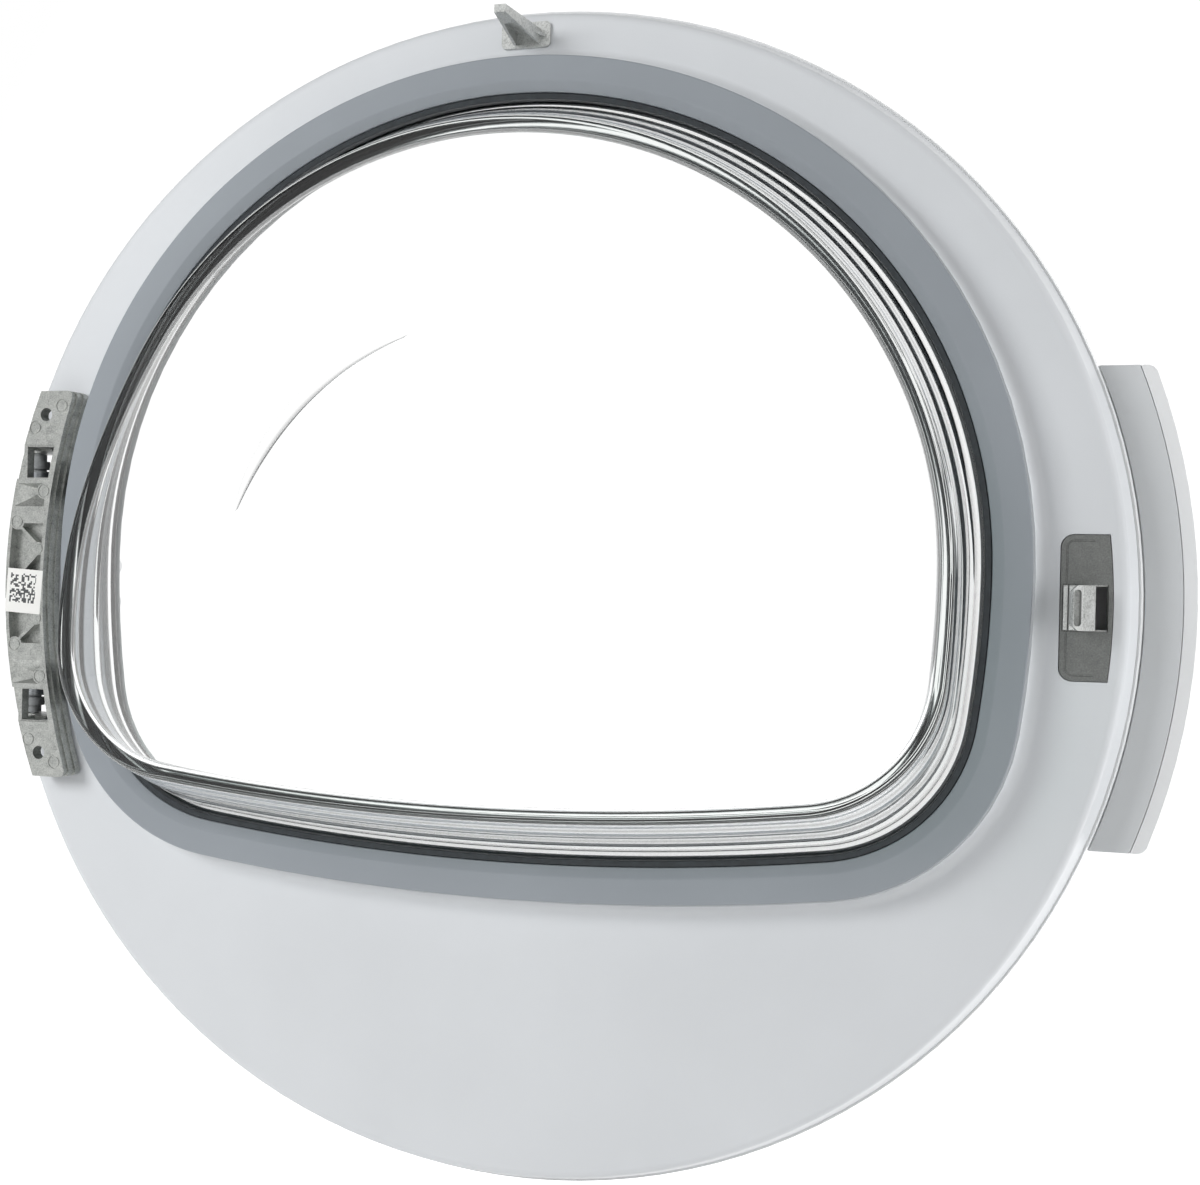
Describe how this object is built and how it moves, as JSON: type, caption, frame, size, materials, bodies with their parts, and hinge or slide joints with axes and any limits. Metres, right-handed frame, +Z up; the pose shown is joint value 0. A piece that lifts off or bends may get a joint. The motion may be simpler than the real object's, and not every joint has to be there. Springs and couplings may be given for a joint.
{
  "type": "tumble dryer door",
  "caption": "Round dryer door seen from its inner side: glass bowl in a D-shaped frame, cast hinge plate, catch hook, switch prong and pull handle.",
  "frame": {"origin": "midpoint between the two mounting screw holes, on the hinge plate's mounting face", "axes": "+Z up along the hinge, +X from the hinge towards the handle, +Y out towards the user with the door shut; the inner side with the glass bowl faces -Y"},
  "size_m": [0.4905, 0.0975, 0.4716],
  "materials": {
    "cast_alloy": "satin",
    "label": "matte",
    "steel": "satin",
    "dark_steel": "satin",
    "bush_plastic": "matte",
    "panel_plastic": "satin",
    "frame_plastic": "satin",
    "front_plastic": "gloss",
    "glass": "clear",
    "seal_rubber": "matte",
    "clamp_plastic": "matte",
    "latch_plastic": "satin",
    "latch_alloy": "satin",
    "prong_steel": "satin",
    "handle_plastic": "satin"
  },
  "bodies": {
    "hinge_plate_side": {"hinge_plate": "cast_alloy", "hinge_label": "label", "upper_hinge_pin": "steel", "lower_hinge_pin": "steel"},
    "door": {"upper_hinge_bush": "bush_plastic", "lower_hinge_bush": "bush_plastic", "upper_hinge_arm": "dark_steel", "lower_hinge_arm": "dark_steel", "hinge_reinforcement": "steel", "hinge_screws": "steel", "inner_panel": "panel_plastic", "window_frame": "frame_plastic", "glass_bowl": "glass", "bowl_seal": "seal_rubber", "clamp_ring": "clamp_plastic", "clamp_screws": "steel", "outer_frame": "front_plastic", "latch_plate": "latch_plastic", "latch_hook": "latch_alloy", "latch_screws": "steel", "switch_prong": "prong_steel", "prong_screw": "steel", "handle_shell": "handle_plastic", "handle_cover": "handle_plastic", "handle_screws": "steel"}
  },
  "joints": [
    {"name": "door_hinge", "type": "hinge", "parent": "hinge_plate_side", "child": "door", "pos_m": [-0.02006, 0.024, 0], "axis": [0, 0, 1], "range_deg": [0, 170]}
  ]
}
